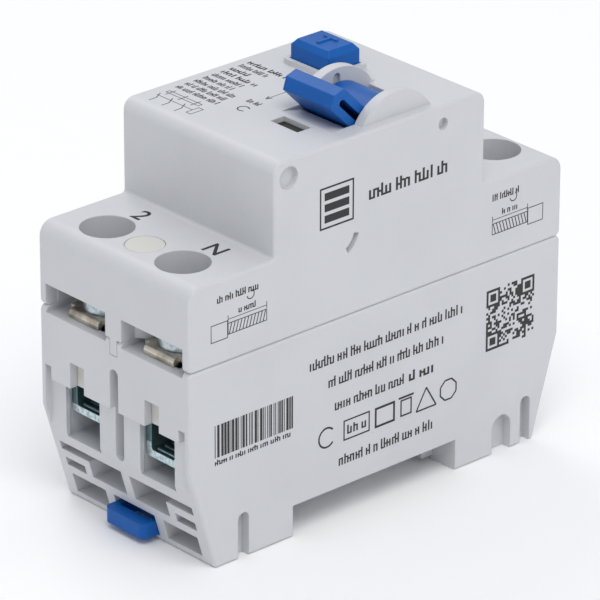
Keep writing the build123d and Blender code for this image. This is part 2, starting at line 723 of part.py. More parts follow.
# ================================================================ link and contact carrier
with BuildPart() as link:
    with BuildSketch(Plane.XZ.offset(-toggle_centre_y)):
        with BuildLine():
            Line((crank_x, crank_z), (crank_x, link_nose_z))
        trace(line_width=link_width)
        with Locations((crank_x, link_nose_z)):
            Circle(link_width / 2)
        with Locations((crank_x, crank_z)):
            Circle(link_eye_radius)
        with Locations((crank_x, crank_z)):
            Circle(link_pin_radius + running_gap, mode=Mode.SUBTRACT)
    extrude(amount=link_thickness / 2, both=True)
link.part.label = "drive_link"
export_step(link.part, "parts/drive_link.step")

finger_mid_x = (finger_left + finger_right) / 2
spring_pocket_end = carrier_right - 0.6
with BuildPart() as carrier:
    block(carrier_left, carrier_right, -carrier_half_width, carrier_half_width, carrier_bottom, carrier_top)
    chamfer(carrier.edges().filter_by(Axis.Y), 0.4)
    # slot the link's nose works in
    block(crank_x - link_width / 2 - loose_gap, crank_x + link_width / 2 + loose_gap,
          toggle_centre_y - link_thickness / 2 - loose_gap, toggle_centre_y + link_thickness / 2 + loose_gap,
          carrier_bottom + 0.8, carrier_top + 1, mode=Mode.SUBTRACT)
    # weight-saving pocket between the poles
    block(carrier_left + 1.4, carrier_right - 1.4, -4.5, 4.5, carrier_bottom + 1.4, carrier_top + 1,
          mode=Mode.SUBTRACT)
    for pole in (-1, 1):
        block(finger_left - seat_gap, finger_right + seat_gap, pole * 11.2, pole * 14.1, carrier_bottom - 1,
              carrier_bottom + 3.3, mode=Mode.SUBTRACT)
        rod((finger_right + spring_pocket_end) / 2, pole * 12.6, carrier_bottom + 1.9, 1.3,
            spring_pocket_end - finger_right, rotation=along_x, mode=Mode.SUBTRACT)
carrier.part.label = "contact_carrier"
export_step(carrier.part, "parts/contact_carrier.step")

for pole, name in ((1, "phase"), (-1, "neutral")):
    mid = pole * pole_offset
    with BuildPart() as finger:
        block(finger_left, finger_right, pole * 11.3, pole * 13.9, finger_bottom + 4, carrier_bottom + 3.2)
        block(finger_left, finger_right, mid - finger_width / 2, mid + finger_width / 2, finger_bottom,
              frame_bottom - 0.8)
        block(finger_left, finger_right, pole * 11.3, pole * 12.05, finger_bottom + 4, frame_bottom - 0.8)
        rod(finger_left - contact_thickness / 2, mid, contact_z, contact_radius, contact_thickness,
            rotation=along_x)
        fillet(finger.edges().filter_by(GeomType.CIRCLE).group_by(Axis.X)[0], 0.25)
    finger.part.label = f"moving_contact_{name}"
    export_step(finger.part, f"parts/moving_contact_{name}.step")

    with BuildPart() as fixed:
        block(strip_left, strip_right, mid - tongue_width / 2, mid + tongue_width / 2, strip_bottom,
              strip_top)
        block(strip_left, cavity_half - tail_reach + 1.2, mid - tongue_width / 2, mid + tongue_width / 2,
              strip_bottom, strip_bottom + strip_sheet)
        block(cavity_half - tail_reach + 1.2 - strip_sheet, cavity_half - tail_reach + 1.2,
              mid - tongue_width / 2, mid + tongue_width / 2, strip_bottom, tongue_bottom)
        rod(strip_right + contact_thickness / 2, mid, contact_z, contact_radius, contact_thickness,
            rotation=along_x)
        fillet(fixed.edges().filter_by(GeomType.CIRCLE).sort_by(Axis.X)[-1], 0.25)
    fixed.part.label = f"fixed_contact_{name}"
    export_step(fixed.part, f"parts/fixed_contact_{name}.step")

    # flexible braid from the moving contact to the primary conductor
    braid_y = pole * (pole_offset - 1.2)
    with BuildPart() as braid:
        with BuildLine() as braid_line:
            FilletPolyline(
                (finger_right + braid_radius + 0.3, braid_y, 27.0),
                (finger_right + braid_radius + 0.3, pole * 4.4, 24.2),
                (finger_left, pole * wire_spread, core_z),
                (1.5, pole * wire_spread, core_z),
                radius=1.6,
            )
        with BuildSketch(Plane(origin=braid_line.line @ 0, z_dir=braid_line.line % 0)):
            Circle(braid_radius)
        sweep()
    braid.part.label = f"contact_braid_{name}"
    export_step(braid.part, f"parts/contact_braid_{name}.step")

    with BuildPart() as conductor:
        with BuildLine() as conductor_line:
            FilletPolyline(
                (1.4, pole * wire_spread, core_z),
                (-18.6, pole * wire_spread, core_z),
                (-cavity_half + tail_reach - 1.4, pole * 8.0, core_z + 0.5),
                radius=2.0,
            )
        with BuildSketch(Plane(origin=conductor_line.line @ 0, z_dir=conductor_line.line % 0)):
            Circle(wire_radius)
        sweep()
    conductor.part.label = f"primary_conductor_{name}"
    export_step(conductor.part, f"parts/primary_conductor_{name}.step")

pressure_springs = []
for pole in (-1, 1):
    pressure_springs.append(
        coil_spring((finger_right + 0.3, pole * 12.6, carrier_bottom + 1.9), (1, 0, 0),
                    spring_pocket_end - finger_right - 0.6, 0.85, 0.35, 4))
contact_springs = Compound(label="contact_springs", children=pressure_springs)
export_step(contact_springs, "parts/contact_springs.step")

spring_post_x = -6.8
carrier_spring = coil_spring((spring_post_x + 0.4, 0, carrier_bottom + 2.9), (1, 0, 0),
                             carrier_left - spring_post_x - 0.8, 1.8, 0.55, 7)
carrier_spring.label = "carrier_spring"
export_step(carrier_spring, "parts/carrier_spring.step")

# ================================================================ mechanism frame, levers
with BuildPart() as frame:
    half_frame = half_width - side_wall - 0.2
    block(frame_left + 0.2, frame_right - 0.2, -half_frame, half_frame, frame_bottom, frame_top)
    for pole in (-1, 1):
        block(finger_left - carrier_travel - 0.6, finger_right + 0.6, pole * 10.7, pole * 14.5,
              frame_bottom - 1, frame_top + 1, mode=Mode.SUBTRACT)
    # post of the carrier spring, and the two cheeks that hold the lever pins
    block(spring_post_x - 1.4, spring_post_x, -2.6, 2.4, frame_top - 0.5, carrier_top)
    for y0, y1 in ((lever_y - 6.0, lever_y - 4.8), (lever_y + 4.8, lever_y + 6.0)):
        block(lever_x - 2.0, lever_x + 2.0, y0, y1, frame_top - 0.5, trip_pivot_z + 2.2)
        fillet(frame.edges().filter_by(Axis.Y).group_by(Axis.Z)[-1], 1.2)
    for pivot in (trip_pivot_z, latch_pivot_z):
        rod(lever_x, lever_y, pivot, lever_pin_radius, 14, rotation=along_y, mode=Mode.SUBTRACT)
    # locating pegs of the relay
    for x0 in (relay_left + 2, relay_right - 3):
        block(x0, x0 + 1.5, relay_near_y + 3, relay_near_y + 9, frame_top - 0.5, relay_bottom)
frame.part.label = "mechanism_frame"
export_step(frame.part, "parts/mechanism_frame.step")

with BuildPart() as lever_pins:
    for pivot in (trip_pivot_z, latch_pivot_z):
        rod(lever_x, lever_y, pivot, lever_pin_radius, 12.4, rotation=along_y)
lever_pins.part.label = "lever_pins"
export_step(lever_pins.part, "parts/lever_pins.step")

with BuildPart() as trip_lever:
    rod(lever_x, lever_y, trip_pivot_z, 1.9, lever_span, rotation=along_y)
    block(lever_x - 1.0, lever_x + 0.6, lever_y - 2, lever_y + 2, trip_pivot_z, plunger_z + 2.0)
    block(lever_x + 0.2, lever_x + 1.8, lever_y - 3.4, lever_y + 0.6, trip_pivot_z - trip_foot, trip_pivot_z)
    rod(lever_x, lever_y, trip_pivot_z, lever_pin_radius + running_gap, 20, rotation=along_y,
        mode=Mode.SUBTRACT)
trip_lever.part.label = "trip_lever"
export_step(trip_lever.part, "parts/trip_lever.step")

with BuildPart() as latch_lever:
    rod(lever_x, lever_y, latch_pivot_z, 1.7, lever_span, rotation=along_y)
    block(lever_x, lever_x + 6.6, lever_y - 3, lever_y, latch_pivot_z - 0.7, latch_pivot_z + 0.7)
    block(lever_x + 5.4, lever_x + 6.6, lever_y - 3, lever_y, carrier_top + latch_clearance, latch_pivot_z)
    rod(lever_x, lever_y, latch_pivot_z, lever_pin_radius + running_gap, 20, rotation=along_y,
        mode=Mode.SUBTRACT)
latch_lever.part.label = "latch_lever"
export_step(latch_lever.part, "parts/latch_lever.step")

# ================================================================ trip relay
relay_mid_y = (relay_near_y + relay_far_y) / 2
with BuildPart() as relay_case:
    block(relay_left, relay_right, relay_near_y, relay_far_y, relay_bottom, relay_top)
    fillet(relay_case.edges().filter_by(Axis.Z), 0.8)
    block(relay_left + relay_wall, relay_right - relay_wall, relay_near_y + relay_wall,
          relay_far_y - relay_wall, relay_bottom - 1, relay_top - relay_wall, mode=Mode.SUBTRACT)
    rod(relay_right, lever_y, plunger_z, plunger_radius + 2 * running_gap, 4, rotation=along_x,
        mode=Mode.SUBTRACT)
relay_case.part.label = "relay_housing"
export_step(relay_case.part, "parts/relay_housing.step")

with BuildPart() as relay_yoke:
    block(relay_left + 1.4, relay_left + 3.0, relay_mid_y - 4, relay_mid_y + 4, relay_bottom,
          plunger_z - 2.0)
    block(relay_right - 3.2, relay_right - 1.6, relay_mid_y - 4, relay_mid_y + 4, relay_bottom,
          plunger_z - 2.0)
    block(relay_left + 1.4, relay_right - 1.6, relay_mid_y - 4, relay_mid_y + 4, relay_bottom,
          relay_bottom + 1.6)
    rod(relay_left + 3.8, relay_mid_y, relay_coil_z, 1.6, 3.0, rotation=along_x)
relay_yoke.part.label = "relay_yoke"
export_step(relay_yoke.part, "parts/relay_yoke.step")

with BuildPart() as relay_magnet:
    block(relay_left + 4.2, relay_right - 4.4, relay_mid_y - 3, relay_mid_y + 3, relay_bottom + 1.7,
          relay_bottom + 3.7)
relay_magnet.part.label = "relay_magnet"
export_step(relay_magnet.part, "parts/relay_magnet.step")

with BuildPart() as relay_coil:
    coil_mid = (relay_left + relay_right) / 2 + 0.4
    rod(coil_mid, relay_mid_y, relay_coil_z, 3.6, 3.0, rotation=along_x)
    for flange in (-1, 1):
        rod(coil_mid + flange * 1.8, relay_mid_y, relay_coil_z, 4.2, 0.6, rotation=along_x)
    rod(coil_mid, relay_mid_y, relay_coil_z, 1.7, 10, rotation=along_x, mode=Mode.SUBTRACT)
relay_coil.part.label = "relay_coil"
export_step(relay_coil.part, "parts/relay_coil.step")

plunger_start = relay_right - 7.0
plunger_end = lever_x - 1.0 - seat_gap
with BuildPart() as plunger:
    rod((plunger_start + plunger_end) / 2, lever_y, plunger_z, plunger_radius, plunger_end - plunger_start,
        rotation=along_x)
    rod(relay_right - 5.0, lever_y, plunger_z, 1.8, 1.0, rotation=along_x)
    # domed tip, so that it rolls on the lever instead of digging in
    fillet(plunger.edges().filter_by(GeomType.CIRCLE).sort_by(Axis.X)[-1], plunger_radius - 0.05)
plunger.part.label = "relay_plunger"
export_step(plunger.part, "parts/relay_plunger.step")

# ================================================================ differential transformer
with BuildPart() as core:
    rod(core_x, 0, core_z, core_outer, core_length, rotation=along_x)
    rod(core_x, 0, core_z, core_inner, core_length + 2, rotation=along_x, mode=Mode.SUBTRACT)
core.part.label = "transformer_core"
export_step(core.part, "parts/transformer_core.step")

# channel-shaped core case, open towards the load end, and the winding round five sixths of it
case_in = core_inner - core_case_wall - seat_gap
case_out = core_outer + core_case_wall + seat_gap
case_half = core_length / 2 + core_case_wall
with BuildPart() as core_case:
    rod(core_x, 0, core_z, case_out, 2 * case_half, rotation=along_x)
    rod(core_x, 0, core_z, case_in, 3 * case_half, rotation=along_x, mode=Mode.SUBTRACT)
    with BuildSketch(Plane.YZ.offset(core_x - case_half)):
        with Locations((0, core_z)):
            Circle(core_outer + seat_gap)
            Circle(core_inner - seat_gap, mode=Mode.SUBTRACT)
    extrude(amount=2 * case_half - core_case_wall + 0.05, mode=Mode.SUBTRACT)
core_case.part.label = "transformer_case"
export_step(core_case.part, "parts/transformer_case.step")

with BuildPart() as winding:
    with BuildSketch(Plane.XZ):
        with Locations((core_x, core_z + (winding_outer + winding_inner) / 2)):
            RectangleRounded(2 * case_half + 1.3, winding_outer - winding_inner, 0.6)
        with Locations((core_x, core_z + (case_in + case_out) / 2)):
            Rectangle(2 * case_half + 0.1, case_out - case_in + 0.1, mode=Mode.SUBTRACT)
    revolve(axis=Axis((core_x, 0, core_z), (1, 0, 0)), revolution_arc=300)
winding.part.label = "transformer_winding"
export_step(winding.part, "parts/transformer_winding.step")

# ================================================================ test circuit
with BuildPart() as board:
    block(-20, 20, board_y, board_y + board_sheet, 9.0, 31.0)
    for hole_x in (-17, 17):
        rod(hole_x, board_y, 28.0, 1.0, 4, rotation=along_y, mode=Mode.SUBTRACT)
board.part.label = "circuit_board"
export_step(board.part, "parts/circuit_board.step")

resistor_y = board_y - 1.15
with BuildPart() as resistor:
    rod(8.0, resistor_y, 11.0, 0.95, 6.4, rotation=along_x)
    for flange in (-1, 1):
        rod(8.0 + flange * 2.7, resistor_y, 11.0, 1.1, 1.2, rotation=along_x)
    rod(8.0, resistor_y, 11.0, 0.3, 9.6, rotation=along_x)
    for flange in (-1, 1):
        rod(8.0 + flange * 4.8, (resistor_y + board_y) / 2, 11.0, 0.3, board_y - resistor_y,
            rotation=along_y)
resistor.part.label = "test_resistor"
export_step(resistor.part, "parts/test_resistor.step")

with BuildPart() as board_parts:
    for part_x in (-14.5, -12.0, -9.5):
        rod(part_x, board_y - 0.9, 26.5, 0.85, 3.4)
    block(chip_left, chip_left + chip_length, board_y - chip_height, board_y, 24.6, 28.2)
board_parts.part.label = "board_components"
export_step(board_parts.part, "parts/board_components.step")

leaf_foot_x = frame_right - 2.6
leaf_top = stem_bottom - 0.1
with BuildPart() as leaf:
    with BuildSketch(Plane.XZ.offset(-(button_y - 2.0))):
        with BuildLine():
            FilletPolyline((leaf_foot_x, frame_top), (leaf_foot_x, leaf_top), (button_x - 2.0, leaf_top),
                           (button_x - 2.0, leaf_top - 0.4), (leaf_foot_x - 0.4, leaf_top - 0.4),
                           (leaf_foot_x - 0.4, frame_top), radius=0.15, close=True)
        make_face()
    extrude(amount=-4.0)
leaf.part.label = "test_contact_spring"
export_step(leaf.part, "parts/test_contact_spring.step")

with BuildPart() as test_post:
    block(button_x + 1.9, button_x + 2.9, button_y - 1.4, button_y + 1.4, frame_top, leaf_top - 0.4 - 1.8)
    chamfer(test_post.edges().group_by(Axis.Z)[-1], 0.2)
test_post.part.label = "test_fixed_contact"
export_step(test_post.part, "parts/test_fixed_contact.step")

with BuildPart() as test_lead:
    with BuildLine() as lead_line:
        FilletPolyline(
            (leaf_foot_x + 0.45, button_y, 37.4), (frame_right + 1.2, button_y, 37.4),
            (frame_right + 1.2, 12.4, 37.4), (frame_right + 1.2, 12.4, 24.0),
            (frame_right + 1.2, board_y - 0.05, 24.0), radius=0.8,
        )
    with BuildSketch(Plane(origin=lead_line.line @ 0, z_dir=lead_line.line % 0)):
        Circle(0.4)
    sweep()
test_lead.part.label = "test_lead"
export_step(test_lead.part, "parts/test_lead.step")

with BuildPart() as secondary_leads:
    for lead_z in (24.5, 26.0):
        with BuildLine() as secondary_line:
            FilletPolyline(
                (core_x + case_half + 0.75, 9.3, lead_z), (core_x + case_half + 2.6, 9.3, lead_z),
                (core_x + case_half + 2.6, board_y - 0.05, lead_z), radius=0.6,
            )
        with BuildSketch(Plane(origin=secondary_line.line @ 0, z_dir=secondary_line.line % 0)):
            Circle(0.3)
        sweep()
secondary_leads.part.label = "secondary_leads"
export_step(secondary_leads.part, "parts/secondary_leads.step")

# ================================================================ test button
flange_top = nose_height - wall - seat_gap
with BuildPart() as button:
    block(button_x - button_length / 2, button_x + button_length / 2, button_y - button_breadth / 2,
          button_y + button_breadth / 2, flange_top - button_flange_height, button_top - button_chamfer_down)
    taper_plane = Plane.XY.offset(button_top - button_chamfer_down)
    with BuildSketch(taper_plane):
        with Locations((button_x, button_y)):
            Rectangle(button_length, button_breadth)
    extrude(amount=button_chamfer_down,
            taper=math.degrees(math.atan(button_chamfer_in / button_chamfer_down)))
    fillet(button.edges().group_by(Axis.Z)[1:], button_edge_round)
    block(button_x - button_length / 2 - button_flange, button_x + button_length / 2 + button_flange,
          button_y - button_breadth / 2 - button_flange, button_y + button_breadth / 2 + button_flange,
          flange_top - button_flange_height, flange_top)
    # hollow underside with the stem that bends the test contact
    block(button_x - button_length / 2 + 1.2, button_x + button_length / 2 - 1.2,
          button_y - button_breadth / 2 + 1.2, button_y + button_breadth / 2 - 1.2,
          flange_top - button_flange_height - 1, button_top - 3.0, mode=Mode.SUBTRACT)
    rod(button_x, button_y, (stem_bottom + button_top - 2.5) / 2, stem_radius,
        button_top - 2.5 - stem_bottom)
    # raised T for test, its foot towards the load end
    block(button_x - 1.7, button_x + 1.5, button_y - letter_stroke / 2, button_y + letter_stroke / 2,
          button_top - 0.2, button_top + letter_height)
    block(button_x + 1.5 - letter_stroke, button_x + 1.5, button_y - 1.5, button_y + 1.5, button_top - 0.2,
          button_top + letter_height)
button.part.label = "test_button"
export_step(button.part, "parts/test_button.step")

# ================================================================ position flag
with BuildPart() as flag:
    flag_left = window_x - window_length / 2 - 0.05
    flag_top = nose_height - window_depth - 0.06
    block(flag_left, flag_left + 2 * flag_zone + 0.3, window_y - window_breadth / 2 - 0.5,
          window_y + window_breadth / 2 + 0.5, flag_top - flag_thickness, flag_top)
    for line in range(13):
        block(flag_left + 0.1, flag_left + flag_zone, window_y - 3.0 + 0.5 * line - 0.07,
              window_y - 3.0 + 0.5 * line + 0.07, flag_top - 0.05, flag_top + 0.03)
    # arm the toggle drum pushes
    block(flag_left + 2.0, flag_left + 3.4, window_y - 1.5, window_y + 1.5, toggle_z - 2, flag_top - 0.3)
    block(flag_left + 2.0, toggle_x - drum_radius - 0.3, window_y - 1.5, window_y + 1.5, toggle_z - 2,
          toggle_z - 0.6)
flag.part.label = "position_flag"
export_step(flag.part, "parts/position_flag.step")
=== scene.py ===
import json
import math
import random

import bpy
from mathutils import Matrix, Vector


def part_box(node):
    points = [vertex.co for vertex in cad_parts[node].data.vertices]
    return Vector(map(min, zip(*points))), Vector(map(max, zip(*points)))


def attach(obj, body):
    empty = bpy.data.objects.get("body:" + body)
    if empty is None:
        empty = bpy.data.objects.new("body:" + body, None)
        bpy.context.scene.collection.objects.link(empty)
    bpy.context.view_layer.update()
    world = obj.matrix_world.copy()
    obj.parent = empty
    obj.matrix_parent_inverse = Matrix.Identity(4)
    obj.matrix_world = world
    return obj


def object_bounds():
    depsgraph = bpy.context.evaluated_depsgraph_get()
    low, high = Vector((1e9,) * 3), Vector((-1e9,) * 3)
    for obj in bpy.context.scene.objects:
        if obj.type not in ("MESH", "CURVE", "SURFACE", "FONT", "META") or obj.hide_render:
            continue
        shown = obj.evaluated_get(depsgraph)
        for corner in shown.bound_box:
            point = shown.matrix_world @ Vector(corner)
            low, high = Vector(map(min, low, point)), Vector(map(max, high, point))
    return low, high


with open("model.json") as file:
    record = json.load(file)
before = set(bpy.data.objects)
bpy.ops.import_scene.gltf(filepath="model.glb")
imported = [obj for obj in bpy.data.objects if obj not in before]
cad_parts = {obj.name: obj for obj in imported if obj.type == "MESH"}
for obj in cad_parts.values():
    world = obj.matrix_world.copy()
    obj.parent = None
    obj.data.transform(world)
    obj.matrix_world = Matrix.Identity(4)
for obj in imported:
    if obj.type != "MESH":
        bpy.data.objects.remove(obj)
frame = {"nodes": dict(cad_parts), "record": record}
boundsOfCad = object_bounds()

# Two-pole residual current device. Lengths are in metres, and mm turns millimetres into them.
mm = 0.001
seed = random.Random(41)
print("frame loaded,", len(frame["nodes"]), "nodes")


# sums on shader sockets, written as plain expressions
class socketValue:
    def __init__(self, paint, socket):
        self.paint = paint
        self.socket = socket

    def math(self, operation, *others):
        node = self.paint.tree.nodes.new("ShaderNodeMath")
        node.operation = operation
        for index, value in enumerate((self, *others)):
            self.paint.feed(node.inputs[index], value)
        return socketValue(self.paint, node.outputs[0])

    def __add__(self, other):
        return self.math("ADD", other)

    def __sub__(self, other):
        return self.math("SUBTRACT", other)

    def __rsub__(self, other):
        return (self * -1.0).math("ADD", other)

    def __mul__(self, other):
        return self.math("MULTIPLY", other)

    def __gt__(self, other):
        return self.math("GREATER_THAN", other)

    def __lt__(self, other):
        return self.math("LESS_THAN", other)

    __radd__ = __add__
    __rmul__ = __mul__


def opaque(colour):
    # a plain colour gains its alpha, and a colour that comes from a socket is passed on
    return colour if isinstance(colour, socketValue) else (*colour, 1.0)


def waves(distance, pace):
    # stripes between 0 and 1, one to each pace
    return (distance * (2 * math.pi / pace)).math("SINE") * 0.5 + 0.5


# bevel sampling, and the range of the edge mask that paints edges lighter, partly as wear and partly as a painted
# highlight
edgeBevel = {"samples": 4, "range": (0.02, 0.22)}


class surfacePaint:
    def __init__(self, name, **constants):
        self.material = bpy.data.materials.new(name)
        self.material.use_nodes = True
        self.tree = self.material.node_tree
        self.shader = self.tree.nodes["Principled BSDF"]
        for socket, value in constants.items():
            self.shader.inputs[socket.replace("_", " ")].default_value = value
        self.place = self.node("TexCoord", output="Object")

    def feed(self, socket, value):
        if isinstance(value, socketValue):
            self.tree.links.new(value.socket, socket)
        else:
            socket.default_value = value

    def node(self, kind, settings=None, values=None, output=0):
        made = self.tree.nodes.new("ShaderNode" + kind)
        for key, value in (settings or {}).items():
            setattr(made, key, value)
        for key, value in (values or {}).items():
            self.feed(made.inputs[key], value)
        return socketValue(self, made.outputs[output])

    def axes(self):
        split = self.tree.nodes.new("ShaderNodeSeparateXYZ")
        self.feed(split.inputs[0], self.place)
        return [socketValue(self, split.outputs[index]) for index in range(3)]

    def noise(self, size, detail=2.0, stretch=(1, 1, 1)):
        # size is the width of one feature
        spot = self.node("Mapping", values={"Vector": self.place, "Scale": stretch})
        return self.node("TexNoise", values={"Vector": spot, "Scale": 1 / size, "Detail": detail})

    def step(self, value, low, high):
        return self.node("MapRange", {"interpolation_type": "SMOOTHSTEP"},
                         {"Value": value, "From Min": low, "From Max": high})

    def blend(self, factor, first, second):
        # inputs 6 and 7 and output 2 are the mix node's colour sockets
        return self.node("Mix", {"data_type": "RGBA"}, {0: factor, 6: opaque(first), 7: opaque(second)}, output=2)

    # the edge mask: edges are painted lighter, partly as wear and partly as a painted highlight on the rounded edges
    def edgeWearAndHighlight(self, radius):
        soft = self.node("Bevel", {"samples": edgeBevel["samples"]}, {"Radius": radius})
        flat = self.node("NewGeometry", output="Normal")
        facing = self.node("VectorMath", {"operation": "DOT_PRODUCT"}, {0: soft, 1: flat}, output="Value")
        return self.step(1.0 - facing, *edgeBevel["range"])

    def bump(self, height, depth, strength=1.0, radius=None):
        values = {"Height": height, "Distance": depth, "Strength": strength}
        if radius:
            values["Normal"] = self.node("Bevel", {"samples": edgeBevel["samples"]}, {"Radius": radius})
        return self.node("Bump", values=values)

    def finish(self, colour, roughness, normal=None):
        self.feed(self.shader.inputs["Base Color"], opaque(colour))
        self.feed(self.shader.inputs["Roughness"], roughness)
        if normal:
            self.feed(self.shader.inputs["Normal"], normal)
        return self.material


# plastics: grain, depth and radius in millimetres
mouldings = {
    "housing": {"tone": (0.605, 0.615, 0.632), "deep": (0.548, 0.558, 0.576), "edge": (0.81, 0.815, 0.83),
                "grain": 0.17, "depth": 0.010, "rough": 0.46, "radius": 0.22, "gloss": 0.5},
    "blue": {"tone": (0.0015, 0.102, 0.415), "deep": (0.001, 0.070, 0.320), "edge": (0.012, 0.21, 0.57),
             "grain": 0.22, "depth": 0.016, "rough": 0.36, "radius": 0.25, "gloss": 0.26},
    "cream": {"tone": (0.630, 0.622, 0.588), "deep": (0.580, 0.568, 0.520), "edge": (0.76, 0.75, 0.70),
              "grain": 0.14, "depth": 0.008, "rough": 0.44, "radius": 0.12, "gloss": 0.5},
    "works_plastic": {"tone": (0.050, 0.053, 0.060), "deep": (0.032, 0.034, 0.040), "edge": (0.11, 0.11, 0.12),
                      "grain": 0.20, "depth": 0.018, "rough": 0.55, "radius": 0.15, "gloss": 0.5},
    "relay_plastic": {"tone": (0.014, 0.016, 0.021), "deep": (0.009, 0.010, 0.014), "edge": (0.05, 0.05, 0.06),
                      "grain": 0.30, "depth": 0.004, "rough": 0.28, "radius": 0.20, "gloss": 0.5},
    "flag": {"tone": (0.030, 0.033, 0.026), "deep": (0.012, 0.013, 0.010), "edge": (0.07, 0.07, 0.06),
             "grain": 0.15, "depth": 0.012, "rough": 0.50, "radius": 0.06, "gloss": 0.5},
    "lead": {"tone": (0.480, 0.018, 0.014), "deep": (0.360, 0.012, 0.010), "edge": (0.60, 0.06, 0.05),
             "grain": 0.10, "depth": 0.006, "rough": 0.42, "radius": 0.05, "gloss": 0.5},
}
# edgeTint is how far edges are painted towards the edge colour, as wear and as a painted highlight
plasticMix = {"clouds": 14 * mm, "cloudRange": (0.3, 0.75), "cloudTint": 0.45, "cloudRough": 0.06,
              "grainRange": (0.35, 0.8), "grainTint": 0.16, "grainRough": 0.10, "edgeTint": 0.55}
dust = {"spacing": 5.5 * mm, "speck": (0.012, 0.030), "patch": 9 * mm, "above": 0.56, "tint": 0.55,
        "tone": (0.22, 0.19, 0.15)}


def moulding(name, look):
    paint = surfacePaint(name, Specular_IOR_Level=look["gloss"])
    mix = plasticMix
    clouds = paint.noise(mix["clouds"], 3.0)
    grain = paint.noise(look["grain"] * mm, 3.0)
    colour = paint.blend(paint.step(clouds, *mix["cloudRange"]) * mix["cloudTint"], look["tone"], look["deep"])
    colour = paint.blend(paint.step(grain, *mix["grainRange"]) * mix["grainTint"], colour, look["edge"])
    # edges painted lighter: wear and a painted highlight
    colour = paint.blend(paint.edgeWearAndHighlight(look["radius"] * mm) * mix["edgeTint"], colour, look["edge"])
    if name == "housing":
        # a few specks of dust, as on any unwrapped moulding
        cells = paint.node("TexVoronoi", {"feature": "F1"}, {"Vector": paint.place, "Scale": 1 / dust["spacing"]},
                           output="Distance")
        patches = paint.noise(dust["patch"]) > dust["above"]
        speck = (1.0 - paint.step(cells, *dust["speck"])) * patches * dust["tint"]
        colour = paint.blend(speck, colour, dust["tone"])
    evenRough = look["rough"] - mix["grainRough"] / 2
    roughness = grain * mix["grainRough"] + evenRough + clouds * mix["cloudRough"]
    return paint.finish(colour, roughness, paint.bump(grain, look["depth"] * mm, 1.0, look["radius"] * mm))


# plain metals: grain in millimetres
metals = {
    "nickel": {"tone": (0.74, 0.68, 0.58), "worn": (0.34, 0.30, 0.25), "rough": 0.26, "grain": 0.30,
               "stretch": (1, 0.12, 1)},
    "bright_steel": {"tone": (0.60, 0.60, 0.60), "worn": (0.44, 0.44, 0.45), "rough": 0.26, "grain": 0.20,
                     "stretch": (1, 1, 1)},
    "silver": {"tone": (0.66, 0.48, 0.33), "worn": (0.50, 0.31, 0.20), "rough": 0.32, "grain": 0.25,
               "stretch": (1, 1, 0.2)},
    "magnet": {"tone": (0.13, 0.13, 0.14), "worn": (0.09, 0.09, 0.10), "rough": 0.50, "grain": 0.15,
               "stretch": (1, 1, 1)},
}
metalMix = {"stains": 2.6 * mm, "stainRange": (0.35, 0.72), "stainRough": 0.08, "streakRough": 0.22,
            "roughShift": 0.10, "edge": (0.82, 0.82, 0.80), "edgeTint": 0.6, "radius": 0.10 * mm,
            "depth": 0.010 * mm}


def plainMetal(name, look):
    paint = surfacePaint(name, Metallic=1.0)
    mix = metalMix
    streaks = paint.noise(look["grain"] * mm, 4.0, look["stretch"])
    stains = paint.noise(mix["stains"], 4.0)
    colour = paint.blend(paint.step(stains, *mix["stainRange"]), look["tone"], look["worn"])
    # edges painted lighter: wear and a painted highlight
    colour = paint.blend(paint.edgeWearAndHighlight(mix["radius"]) * mix["edgeTint"], colour, mix["edge"])
    roughness = streaks * mix["streakRough"] + (look["rough"] - mix["roughShift"]) + stains * mix["stainRough"]
    return paint.finish(colour, roughness, paint.bump(streaks, mix["depth"], 1.0, mix["radius"]))


# blue-green passivated sheet, with a painted highlight: the lowest faces that face along X are painted pale
cageLook = {"lip": 1.3 * mm, "facing": 0.9, "mottle": 0.55 * mm, "drift": 3.5 * mm, "driftRange": (0.35, 0.70),
            "sheet": ((0.105, 0.190, 0.215), (0.170, 0.265, 0.270)), "cutRange": (0.38, 0.62),
            "cut": ((0.62, 0.72, 0.75), (0.36, 0.46, 0.49)), "edge": (0.66, 0.74, 0.76), "edgeTint": 0.5,
            "radius": 0.12 * mm, "depth": 0.012 * mm, "uneven": 0.25, "rough": 0.20}


def cageMetal(look):
    paint = surfacePaint("dark_zinc", Metallic=0.75)
    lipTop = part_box("terminal_cage_load_phase")[0].z + look["lip"]
    mottle = paint.noise(look["mottle"], 4.0)
    drift = paint.noise(look["drift"], 2.0)
    sheet = paint.blend(paint.step(drift, *look["driftRange"]), *look["sheet"])
    # the pale mottled tones of the painted highlight
    cut = paint.blend(paint.step(mottle, *look["cutRange"]), *look["cut"])
    facing = paint.node("SeparateXYZ", values={"Vector": paint.node("NewGeometry", output="Normal")})
    # painted highlight: the faces that face along X, below the lip top, are painted pale as if lit
    highlightFaces = (facing.math("ABSOLUTE") > look["facing"]) * (paint.axes()[2] < lipTop)
    colour = paint.blend(highlightFaces, sheet, cut)
    # edges painted lighter: wear and a painted highlight
    colour = paint.blend(paint.edgeWearAndHighlight(look["radius"]) * look["edgeTint"], colour, look["edge"])
    roughness = mottle * look["uneven"] + look["rough"]
    return paint.finish(colour, roughness, paint.bump(mottle, look["depth"], 1.0, look["radius"]))


# turning rings about each terminal screw: all four share one distance, by symmetry
screwLook = {"ring": 0.16 * mm, "mottle": 0.7 * mm, "mottleRange": (0.35, 0.68),
             "tones": ((0.56, 0.63, 0.66), (0.36, 0.44, 0.48)), "edge": (0.80, 0.83, 0.84), "edgeTint": 0.5,
             "radius": 0.15 * mm, "depth": 0.010 * mm, "ringRough": 0.05, "uneven": 0.20, "rough": 0.18,
             "ringHeight": 0.35, "mottleHeight": 0.65}


